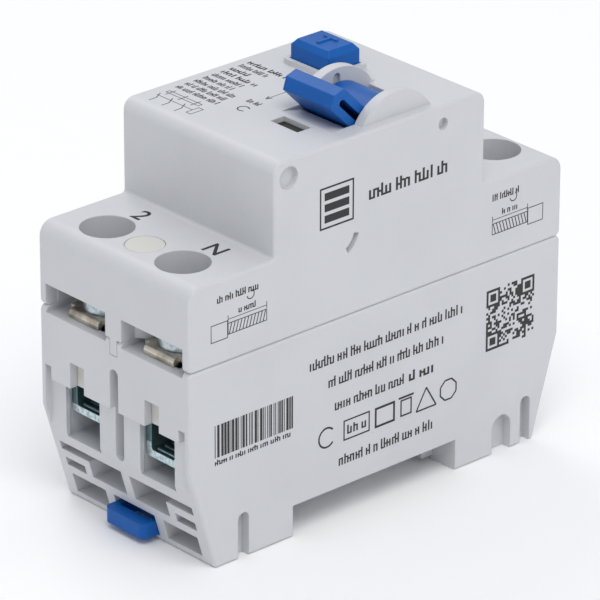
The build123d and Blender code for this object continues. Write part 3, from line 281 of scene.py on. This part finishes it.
def screwMetal(look):
    paint = surfacePaint("zinc_steel", Metallic=1.0)
    x, y = paint.axes()[:2]
    low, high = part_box("terminal_screw_line_phase")
    offX = x.math("ABSOLUTE") - (low.x + high.x) / 2
    offY = y.math("ABSOLUTE") - (low.y + high.y) / 2
    rings = waves((offX * offX + offY * offY).math("SQRT"), look["ring"])
    mottle = paint.noise(look["mottle"], 4.0)
    colour = paint.blend(paint.step(mottle, *look["mottleRange"]), *look["tones"])
    # edges painted lighter: wear and a painted highlight
    colour = paint.blend(paint.edgeWearAndHighlight(look["radius"]) * look["edgeTint"], colour, look["edge"])
    roughness = rings * look["ringRough"] + mottle * look["uneven"] + look["rough"]
    height = rings * look["ringHeight"] + mottle * look["mottleHeight"]
    return paint.finish(colour, roughness, paint.bump(height, look["depth"], 1.0, look["radius"]))


def offCoreAxis(paint):
    # distances from the axis of the ring core, along Y and along Z
    low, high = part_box("transformer_core")
    y, z = paint.axes()[1:]
    return y - (low.y + high.y) / 2, z - (low.z + high.z) / 2


# enamelled turns: stripes round the ring core
windingLook = {"turns": 110, "tones": ((0.16, 0.030, 0.008), (0.52, 0.145, 0.040)), "uneven": 0.25, "rough": 0.22,
               "depth": 0.05 * mm}


def windingWire(look):
    paint = surfacePaint("winding", Metallic=0.85)
    offY, offZ = offCoreAxis(paint)
    stripe = (offZ.math("ARCTAN2", offY) * look["turns"]).math("SINE") * 0.5 + 0.5
    roughness = (1.0 - stripe) * look["uneven"] + look["rough"]
    return paint.finish(paint.blend(stripe, *look["tones"]), roughness, paint.bump(stripe, look["depth"]))


# thin ribbon wound on itself: fine rings about the bore
ribbonLook = {"layer": 0.12 * mm, "tones": ((0.10, 0.10, 0.11), (0.30, 0.30, 0.31)), "uneven": 0.2, "rough": 0.35,
              "depth": 0.015 * mm}


def ribbonCore(look):
    paint = surfacePaint("iron_core", Metallic=0.9)
    offY, offZ = offCoreAxis(paint)
    layers = waves((offY * offY + offZ * offZ).math("SQRT"), look["layer"])
    roughness = layers * look["uneven"] + look["rough"]
    return paint.finish(paint.blend(layers, *look["tones"]), roughness, paint.bump(layers, look["depth"]))


# green solder mask with raised tracks at one pitch
boardLook = {"pitch": 2.54 * mm, "laneAbove": 0.72, "laneTint": 0.7, "laneHeight": 0.6, "weave": 0.3 * mm,
             "weaveHeight": 0.2, "tones": ((0.012, 0.095, 0.035), (0.030, 0.190, 0.070)), "uneven": 0.1,
             "rough": 0.28, "depth": 0.03 * mm}


def boardLaminate(look):
    paint = surfacePaint("board", Coat_Weight=0.3)
    lanes = (paint.axes()[2] * (2 * math.pi / look["pitch"])).math("SINE") > look["laneAbove"]
    weave = paint.noise(look["weave"])
    colour = paint.blend(lanes * look["laneTint"], *look["tones"])
    height = lanes * look["laneHeight"] + weave * look["weaveHeight"]
    return paint.finish(colour, weave * look["uneven"] + look["rough"], paint.bump(height, look["depth"]))


# black epoxy with a pale cathode band near one end
componentLook = {"bandFoot": 0.75 * mm, "bandTop": 0.30 * mm, "grain": 0.12 * mm, "uneven": 0.15, "rough": 0.30,
                 "tones": ((0.012, 0.012, 0.014), (0.50, 0.50, 0.48)), "depth": 0.006 * mm}


def componentBody(look):
    paint = surfacePaint("components")
    z = paint.axes()[2]
    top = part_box("board_components")[1].z
    band = (z > top - look["bandFoot"]) * (z < top - look["bandTop"])
    grain = paint.noise(look["grain"])
    roughness = grain * look["uneven"] + look["rough"]
    return paint.finish(paint.blend(band, *look["tones"]), roughness, paint.bump(grain, look["depth"]))


# lacquered body with four colour rings along its length: each ring's middle in millimetres, and its colour
resistorLook = {"body": (0.28, 0.42, 0.50), "halfRing": 0.22, "dimple": 0.4 * mm, "uneven": 0.1, "rough": 0.22,
                "depth": 0.01 * mm,
                "rings": ((-2.0, (0.25, 0.09, 0.02)), (-0.9, (0.01, 0.01, 0.01)),
                          (0.2, (0.45, 0.02, 0.02)), (1.6, (0.55, 0.40, 0.10)))}


def resistorBody(look):
    paint = surfacePaint("resistor", Coat_Weight=0.4)
    x = paint.axes()[0]
    low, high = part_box("test_resistor")
    middle = (low.x + high.x) / 2
    colour = look["body"]
    for offset, ring in look["rings"]:
        start = middle + (offset - look["halfRing"]) * mm
        end = middle + (offset + look["halfRing"]) * mm
        colour = paint.blend((x > start) * (x < end), colour, ring)
    dimple = paint.noise(look["dimple"])
    return paint.finish(colour, dimple * look["uneven"] + look["rough"], paint.bump(dimple, look["depth"]))


# crossed strands: two slanted stripe sets laid over each other
braidLook = {"strand": 0.45 * mm, "tones": ((0.24, 0.08, 0.035), (0.72, 0.34, 0.19)), "rough": 0.42, "polish": 0.14,
             "depth": 0.04 * mm}


def braidCopper(look):
    paint = surfacePaint("copper", Metallic=1.0)
    x, y, z = paint.axes()
    weave = waves(x + y + z, look["strand"]).math("MAXIMUM", waves(x - y - z, look["strand"]))
    roughness = look["rough"] - weave * look["polish"]
    return paint.finish(paint.blend(weave, *look["tones"]), roughness, paint.bump(weave, look["depth"]))


# pad-printed ink, thinner in places
inkLook = {"patch": 0.25 * mm, "patchRange": (0.55, 0.85), "tones": ((0.011, 0.011, 0.012), (0.060, 0.060, 0.062)),
           "uneven": 0.15, "rough": 0.42, "depth": 0.004 * mm}


def inkPaint(look):
    paint = surfacePaint("ink")
    patchy = paint.noise(look["patch"], 3.0)
    colour = paint.blend(paint.step(patchy, *look["patchRange"]), *look["tones"])
    return paint.finish(colour, patchy * look["uneven"] + look["rough"], paint.bump(patchy, look["depth"]))


finishes = {name: moulding(name, look) for name, look in mouldings.items()}
finishes["zinc_steel"] = screwMetal(screwLook)
finishes["dark_zinc"] = cageMetal(cageLook)
finishes.update({name: plainMetal(name, look) for name, look in metals.items()})
finishes["copper"] = braidCopper(braidLook)
finishes["winding"] = windingWire(windingLook)
finishes["iron_core"] = ribbonCore(ribbonLook)
finishes["board"] = boardLaminate(boardLook)
finishes["components"] = componentBody(componentLook)
finishes["resistor"] = resistorBody(resistorLook)
ink = inkPaint(inkLook)

for part in frame["record"]["subparts"]:
    mesh = frame["nodes"][part["node"]].data
    mesh.materials.clear()
    mesh.materials.append(finishes[part["material_slot"]])
print("materials on every node:", len(finishes), "finishes")

# printed marks: flat shapes drawn on a sheet in millimetres, given the ink's thickness, then laid on a face
inkFilm = {"thickness": 0.018 * mm, "sunk": 0.004 * mm}
smallPrint = {"gain": 1.3, "pace": 1.95, "joined": 0.8, "tops": (0.70, 0.74, 1.0), "bridges": (0, 0.33, 0.58),
              "bridgeWeight": 0.8, "gap": 0.7, "words": (2, 4, 5, 7)}


class inkSheet:
    def __init__(self, name):
        bpy.ops.object.select_all(action="DESELECT")
        bpy.ops.mesh.primitive_plane_add(size=1 * mm, location=(0, 0, 0))
        self.piece = bpy.context.object
        self.piece.name = name
        self.piece.data.name = name
        bpy.ops.object.mode_set(mode="EDIT")
        bpy.ops.mesh.select_all(action="SELECT")
        bpy.ops.mesh.delete(type="VERT")

    def bar(self, left, right, low, high, turn=0.0):
        middle = ((left + right) / 2 * mm, (low + high) / 2 * mm, 0)
        bpy.ops.mesh.primitive_plane_add(size=1 * mm, location=middle)
        bpy.ops.transform.resize(value=(right - left, high - low, 1))
        if turn:
            bpy.ops.transform.rotate(value=turn, orient_axis="Z", center_override=middle)

    def stroke(self, start, end, width):
        reach = math.dist(start, end)
        middle = ((start[0] + end[0]) / 2, (start[1] + end[1]) / 2)
        slope = math.atan2(end[1] - start[1], end[0] - start[0])
        # the rotate operator turns the other way when no window is open
        self.bar(middle[0] - reach / 2, middle[0] + reach / 2, middle[1] - width / 2, middle[1] + width / 2, -slope)

    def frameOf(self, left, right, low, high, width):
        self.bar(left, right, low, low + width)
        self.bar(left, right, high - width, high)
        self.bar(left, left + width, low + width, high - width)
        self.bar(right - width, right, low + width, high - width)

    def arc(self, centre, radius, width, start, sweep, pieces):
        spots = []
        for index in range(pieces + 1):
            angle = math.radians(start + sweep * index / pieces)
            spots.append((centre[0] + radius * math.cos(angle), centre[1] + radius * math.sin(angle)))
        for first, second in zip(spots, spots[1:]):
            self.stroke(first, second, width)

    def greekLine(self, left, right, low, high, weight, leftInWord):
        # a line of small print stood in by uneven ticks with word gaps: it spells nothing
        weight *= smallPrint["gain"]
        pace = weight * smallPrint["pace"]
        tall = high - low
        spot = left
        while spot + weight < right:
            self.bar(spot, spot + weight, low, low + tall * seed.choice(smallPrint["tops"]))
            if seed.random() < smallPrint["joined"] and spot + pace + weight < right and leftInWord > 1:
                bridge = low + tall * seed.choice(smallPrint["bridges"])
                self.bar(spot + weight, spot + pace, bridge, bridge + weight * smallPrint["bridgeWeight"])
            leftInWord -= 1
            spot += pace
            if leftInWord == 0:
                spot += pace * smallPrint["gap"]
                leftInWord = seed.choice(smallPrint["words"])

    def lay(self, origin, across, upward):
        # across and upward are the sheet's own axes on the face it is printed on
        bpy.ops.mesh.select_all(action="SELECT")
        bpy.ops.mesh.extrude_region_move(
            TRANSFORM_OT_translate={"value": (0, 0, inkFilm["thickness"] + inkFilm["sunk"])})
        bpy.ops.mesh.select_all(action="SELECT")
        bpy.ops.mesh.normals_make_consistent(inside=False)
        bpy.ops.object.mode_set(mode="OBJECT")
        across = Vector(across)
        upward = Vector(upward)
        outward = across.cross(upward)
        turned = Matrix((across, upward, outward)).transposed().to_4x4()
        self.piece.matrix_world = Matrix.Translation(Vector(origin) - outward * inkFilm["sunk"]) @ turned
        bpy.ops.object.transform_apply(location=True, rotation=True, scale=True)
        self.piece.data.materials.append(ink)
        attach(self.piece, "housing")


baseLow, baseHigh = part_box("base_housing")
nearSide = ((baseLow.x, baseLow.y, 0), (1, 0, 0), (0, 0, 1))

# A line of small print is left, right, low, high, weight and the ticks in its first word. A frame is left, right,
# low, high and width. An arc is centre, radius, width, start, sweep and pieces.
emblem = {"left": 27.1, "right": 34.3, "low": 51.5, "high": 58.6, "rim": 0.3, "margin": 1.0, "rows": 3,
          "pace": 1.9, "bar": 1.3, "line": (37.5, 54.5, 53.8, 56.0, 0.34, 6)}
sheet = inkSheet("print_emblem")
sheet.frameOf(emblem["left"], emblem["right"], emblem["low"], emblem["high"], emblem["rim"])
for row in range(emblem["rows"]):
    foot = emblem["low"] + emblem["margin"] + row * emblem["pace"]
    sheet.bar(emblem["left"] + emblem["margin"], emblem["right"] - emblem["margin"], foot, foot + emblem["bar"])
sheet.greekLine(*emblem["line"])
sheet.lay(*nearSide)

# strip-length sketches: a hatched conductor, its plain insulation, a size line and two captions
stripSketches = {"load": {"hatched": (8.0, 16.1), "plain": (4.5, 8.0), "slant": 1, "outset": 2.2},
                 "line": {"hatched": (64.6, 72.6), "plain": (72.6, 76.1), "slant": -1, "outset": 0}}
strip = {"core": (39.7, 41.7), "cover": (39.2, 42.2), "rim": 0.13, "hatches": 11, "inset": 0.35, "trim": 1.1,
         "lean": 0.25, "shift": 0.2, "hatch": (39.85, 41.55), "hatchWidth": 0.17, "rule": (42.28, 42.38),
         "tick": 0.12, "ticks": (41.8, 43.0), "sizeInset": (2.2, 2.0), "size": (42.8, 43.85, 0.17, 2),
         "captionInset": 1.8, "caption": (45.6, 46.8, 0.18, 3), "hookInset": 4.7, "hookMiddle": 45.2,
         "hook": (0.75, 0.17, 60, -230, 10)}
for side, sketch in stripSketches.items():
    sheet = inkSheet("print_strip_length_" + side)
    left, right = sketch["hatched"]
    sheet.frameOf(left, right, *strip["core"], strip["rim"])
    sheet.frameOf(*sketch["plain"], *strip["cover"], strip["rim"])
    for index in range(strip["hatches"]):
        foot = left + strip["inset"] + index * (right - left - strip["trim"]) / (strip["hatches"] - 1)
        lean = strip["lean"] * sketch["slant"]
        sheet.stroke((foot - lean + strip["shift"], strip["hatch"][0]),
                     (foot + lean + strip["shift"], strip["hatch"][1]), strip["hatchWidth"])
    sheet.bar(left, right, *strip["rule"])
    sheet.bar(left, left + strip["tick"], *strip["ticks"])
    sheet.bar(right - strip["tick"], right, *strip["ticks"])
    sheet.greekLine(left + strip["sizeInset"][0], right - strip["sizeInset"][1], *strip["size"])
    sheet.greekLine(left - sketch["outset"], right - strip["captionInset"], *strip["caption"])
    sheet.arc((left + strip["hookInset"], strip["hookMiddle"]), *strip["hook"])
    sheet.lay(*nearSide)

# a bar pattern and a matrix pattern, both random, so they hold no data
bars = {"left": 5.2, "lastStart": 21.7, "right": 22.1, "low": 19.3, "high": 24.9, "widths": (0.16, 0.16, 0.32, 0.48),
        "gaps": (0.14, 0.20, 0.36), "line": (5.2, 21.6, 18.0, 18.95, 0.18, 6)}
sheet = inkSheet("print_bars")
spot = bars["left"]
while spot < bars["lastStart"]:
    width = seed.choice(bars["widths"])
    sheet.bar(spot, min(spot + width, bars["right"]), bars["low"], bars["high"])
    spot += width + seed.choice(bars["gaps"])
sheet.greekLine(*bars["line"])
sheet.lay(*nearSide)

matrix = {"left": 63.7, "right": 74.5, "low": 19.2, "cells": 25, "corner": 7, "eye": (2, 5), "filled": 0.47}
sheet = inkSheet("print_matrix")
cell = (matrix["right"] - matrix["left"]) / matrix["cells"]
near = matrix["corner"]
far = matrix["cells"] - matrix["corner"]
for row in range(matrix["cells"]):
    for column in range(matrix["cells"]):
        corner = (row >= far or row < near) and column < near or row >= far and column >= far
        if not corner and seed.random() < matrix["filled"]:
            x0 = matrix["left"] + column * cell
            z0 = matrix["low"] + row * cell
            sheet.bar(x0, x0 + cell, z0, z0 + cell)
for column, row in ((0, 0), (0, far), (far, far)):
    x0 = matrix["left"] + column * cell
    z0 = matrix["low"] + row * cell
    start, end = matrix["eye"]
    sheet.frameOf(x0, x0 + near * cell, z0, z0 + near * cell, cell)
    sheet.bar(x0 + start * cell, x0 + end * cell, z0 + start * cell, z0 + end * cell)
sheet.lay(*nearSide)

# small print, with a row of plain outline shapes below it
smallLines = ((25.1, 58.8, 27.9, 29.7, 0.24, 9), (29.1, 54.3, 23.8, 25.6, 0.24, 3), (30.5, 45.8, 19.4, 21.2, 0.24, 6),
              (46.6, 52.8, 19.4, 21.2, 0.34, 2), (31.4, 52.2, 9.3, 11.1, 0.24, 9))
outlines = {"hook": ((28.8, 15.2), 1.7, 0.32, 40, 280, 14), "badge": (32.4, 38.1, 13.4, 17.0, 0.26),
            "badgeLine": (33.2, 37.4, 14.4, 16.0, 0.26, 4), "square": (39.2, 43.6, 13.4, 17.0, 0.40),
            "bin": (44.8, 47.3, 13.6, 16.6, 0.28), "lid": (44.4, 47.7, 16.8, 17.15),
            "triangle": ((48.3, 13.4), (52.7, 13.4), (50.5, 17.1)), "triangleWidth": 0.28,
            "octagon": ((55.4, 15.2), 1.9, 0.28, 22.5, 360, 8)}
sheet = inkSheet("print_small_lines")
for line in smallLines:
    sheet.greekLine(*line)
sheet.arc(*outlines["hook"])
sheet.frameOf(*outlines["badge"])
sheet.greekLine(*outlines["badgeLine"])
sheet.frameOf(*outlines["square"])
sheet.frameOf(*outlines["bin"])
sheet.bar(*outlines["lid"])
corners = outlines["triangle"]
for first, second in zip(corners, corners[1:] + corners[:1]):
    sheet.stroke(first, second, outlines["triangleWidth"])
sheet.arc(*outlines["octagon"])
sheet.lay(*nearSide)
print("side print laid")

# nose top: small print, a circuit sketch and the arrow beside the toggle. Reads towards -Y, its top towards +X
noseTop = ((baseLow.x, 0, 65.5 * mm), (0, -1, 0), (1, 0, 0))
rating = {"left": -15.8, "tall": 1.25, "thin": 0.17, "heavy": 0.25, "words": (3, 5, 7)}
# foot, length and whether it is heavy
ratingLines = ((26.7, 9.8, False), (28.6, 9.6, False), (30.5, 9.4, False), (32.4, 6.8, False), (34.3, 7.2, False),
               (36.2, 8.8, True), (38.1, 4.6, True), (40.0, 6.6, False), (41.9, 9.2, True))
circuit = {"lanes": (-14.6, -11.6, -8.6), "wire": 0.15, "lower": (20.2, 21.8), "upper": (23.6, 25.8),
           "hinge": (0.05, 21.8), "blade": (-0.9, 23.4), "link": (-15.4, -6.9, 22.55, 22.67),
           "core": (-15.3, -7.4, 24.3, 25.2, 0.13), "relay": (-6.9, -5.7, 21.2, 24.0, 0.13)}
# the arrow runs from the toggle towards the sign of the tripped state
arrow = {"shaft": (-2.56, -2.44, 34.6, 38.4), "tip": (-2.5, 34.2), "barbs": ((-2.05, 35.2), (-2.95, 35.2)),
         "width": 0.18, "line": (-4.0, -1.2, 31.2, 32.5, 0.17, 3), "ring": ((-1.9, 28.9), 0.95, 0.22, 40, 280, 10)}
sheet = inkSheet("print_rating")
for foot, reach, heavy in ratingLines:
    weight = rating["heavy"] if heavy else rating["thin"]
    sheet.greekLine(rating["left"], rating["left"] + reach, foot, foot + rating["tall"], weight,
                    seed.choice(rating["words"]))
for lane in circuit["lanes"]:
    sheet.bar(lane, lane + circuit["wire"], *circuit["lower"])
    sheet.bar(lane, lane + circuit["wire"], *circuit["upper"])
    sheet.stroke((lane + circuit["hinge"][0], circuit["hinge"][1]),
                 (lane + circuit["blade"][0], circuit["blade"][1]), circuit["wire"])
sheet.bar(*circuit["link"])
sheet.frameOf(*circuit["core"])
sheet.frameOf(*circuit["relay"])
sheet.bar(*arrow["shaft"])
for barb in arrow["barbs"]:
    sheet.stroke(arrow["tip"], barb, arrow["width"])
sheet.greekLine(*arrow["line"])
sheet.arc(*arrow["ring"])
sheet.lay(*noseTop)

# terminal signs: a number for the live pole, N for neutral, each with its middle in millimetres
terminalSigns = {"load_phase": ("2", 8.8), "load_neutral": ("N", -8.85),
                 "line_phase": ("1", 8.8), "line_neutral": ("N", -8.85)}
signLook = {"height": 3.45 * mm, "bold": 0.010, "foot": 11.95 * mm, "shoulder": 49.4 * mm}
signTurn = Matrix(((0, 1, 0), (-1, 0, 0), (0, 0, 1))).to_4x4()
for terminal, (sign, middleY) in terminalSigns.items():
    bpy.ops.object.select_all(action="DESELECT")
    bpy.ops.object.text_add(location=(0, 0, 0))
    label = bpy.context.object
    label.name = "sign_" + terminal
    label.data.body = sign
    label.data.size = 1.0
    label.data.align_x = "CENTER"
    label.data.offset = signLook["bold"]
    # the text is extruded both ways from its middle
    label.data.extrude = 0.5 * (inkFilm["thickness"] + inkFilm["sunk"]) / signLook["height"]
    bpy.ops.object.convert(target="MESH")
    heights = [vertex.co.y for vertex in label.data.vertices]
    grown = signLook["height"] / (max(heights) - min(heights))
    atLoad = terminal.startswith("load")
    footX = baseLow.x + signLook["foot"] if atLoad else baseHigh.x - signLook["foot"] - signLook["height"]
    spot = Vector((footX, middleY * mm, signLook["shoulder"] + inkFilm["thickness"] / 2))
    label.matrix_world = Matrix.Translation(spot) @ signTurn @ Matrix.Scale(grown, 4)
    bpy.ops.object.transform_apply(location=True, rotation=True, scale=True)
    label.data.materials.append(ink)
    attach(label, "housing")
print("signs and top print laid")

floorLook = {"half": 1.5, "gap": 0.05 * mm, "tone": (0.985, 0.985, 0.985), "rough": 0.9}
bpy.ops.object.select_all(action="DESELECT")
bpy.ops.mesh.primitive_plane_add(size=2 * floorLook["half"], location=(0, 0, boundsOfCad[0][2] - floorLook["gap"]))
floor = bpy.context.object
floor.name = "floor"
floor.data.materials.append(surfacePaint("floor_paper").finish(floorLook["tone"], floorLook["rough"]))

lamps = {
    "key": {"place": (-0.25, -0.50, 1.05), "size": 0.75, "power": 5.2, "tone": (1.0, 0.99, 0.97)},
    "side": {"place": (0.55, -0.95, 0.45), "size": 0.80, "power": 0.7, "tone": (0.97, 0.98, 1.0)},
    "back": {"place": (0.25, 0.85, 0.80), "size": 0.70, "power": 2.6, "tone": (1.0, 1.0, 1.0)},
}
studio = {"aim": (0, 0, 0.035), "tone": (0.93, 0.95, 1.0), "strength": 0.64}
for name, lamp in lamps.items():
    bpy.ops.object.light_add(type="AREA", location=lamp["place"])
    light = bpy.context.object
    light.name = "lamp_" + name
    light.data.shape = "DISK"
    light.data.size = lamp["size"]
    light.data.energy = lamp["power"]
    light.data.color = lamp["tone"]
    light.rotation_euler = (Vector(studio["aim"]) - Vector(lamp["place"])).to_track_quat("-Z", "Y").to_euler()

world = bpy.data.worlds.new("studio")
world.use_nodes = True
world.node_tree.nodes["Background"].inputs["Color"].default_value = opaque(studio["tone"])
world.node_tree.nodes["Background"].inputs["Strength"].default_value = studio["strength"]
bpy.context.scene.world = world
bpy.context.scene.view_settings.view_transform = "Standard"

view = {"azimuth": -42.19, "elevation": 24.69, "roll": 0.16, "aside": 0.53 * mm, "above": 6.68 * mm,
        "distance": 834.5 * mm, "centre": (-0.1 * mm, 0, 37 * mm), "lens": 311.9, "sensor": 36.0, "nearest": 0.01}
azimuth = math.radians(view["azimuth"])
elevation = math.radians(view["elevation"])
roll = math.radians(view["roll"])
backward = Vector((math.sin(azimuth) * math.cos(elevation), -math.cos(azimuth) * math.cos(elevation),
                   math.sin(elevation)))
level = Vector((0, 0, 1)).cross(backward).normalized()
upright = backward.cross(level)
rightward = level * math.cos(roll) + upright * math.sin(roll)
skyward = upright * math.cos(roll) - level * math.sin(roll)
bpy.ops.object.camera_add()
camera = bpy.context.object
camera.data.lens = view["lens"]
camera.data.sensor_width = view["sensor"]
camera.data.clip_start = view["nearest"]
stand = Vector(view["centre"]) + backward * view["distance"] - rightward * view["aside"] - skyward * view["above"]
camera.matrix_world = Matrix.Translation(stand) @ Matrix((rightward, skyward, backward)).transposed().to_4x4()
bpy.context.scene.camera = camera
print("floor, lights and camera set")
